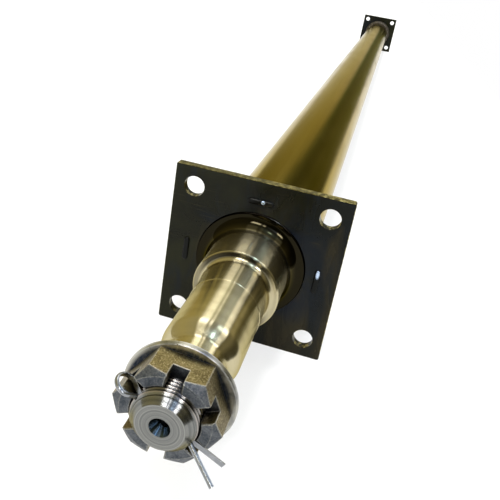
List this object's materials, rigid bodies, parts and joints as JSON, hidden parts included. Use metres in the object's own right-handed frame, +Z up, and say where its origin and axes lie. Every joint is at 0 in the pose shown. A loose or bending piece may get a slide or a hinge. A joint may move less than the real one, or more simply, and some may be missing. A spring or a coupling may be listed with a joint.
{
  "type": "trailer axle",
  "caption": "Straight round-tube trailer axle with a square brake flange, a turned spindle, a washer, a slotted nut and a cotter pin at each end.",
  "frame": {"origin": "middle of the tube, on its axis", "axes": "+Y along the axle from the left end to the right end, +Z up, +X level, both flanges square to X and Z"},
  "size_m": [0.0952, 1.9218, 0.0952],
  "materials": {
    "tube_steel": "bare drawn steel under an amber film of oil, satin to glossy",
    "spindle_steel": "turned and ground steel, glossy, with fine rings round the axis",
    "flange_black": "near-black mill finish with bare sheared edges",
    "weld_metal": "rippled dark weld bead",
    "washer_steel": "stamped steel, scuffed, with a bright rounded rim",
    "nut_steel": "forged steel, rough and grey, with bright worn edges",
    "pin_zinc": "bright zinc-plated half-round wire"
  },
  "bodies": {
    "root": {"axle_tube": "tube_steel", "spindle_left": "spindle_steel", "brake_flange_left": "flange_black", "flange_weld_left": "weld_metal", "spindle_washer_left": "washer_steel", "castle_nut_left": "nut_steel", "cotter_pin_left": "pin_zinc", "spindle_right": "spindle_steel", "brake_flange_right": "flange_black", "flange_weld_right": "weld_metal", "spindle_washer_right": "washer_steel", "castle_nut_right": "nut_steel", "cotter_pin_right": "pin_zinc"}
  },
  "joints": []
}
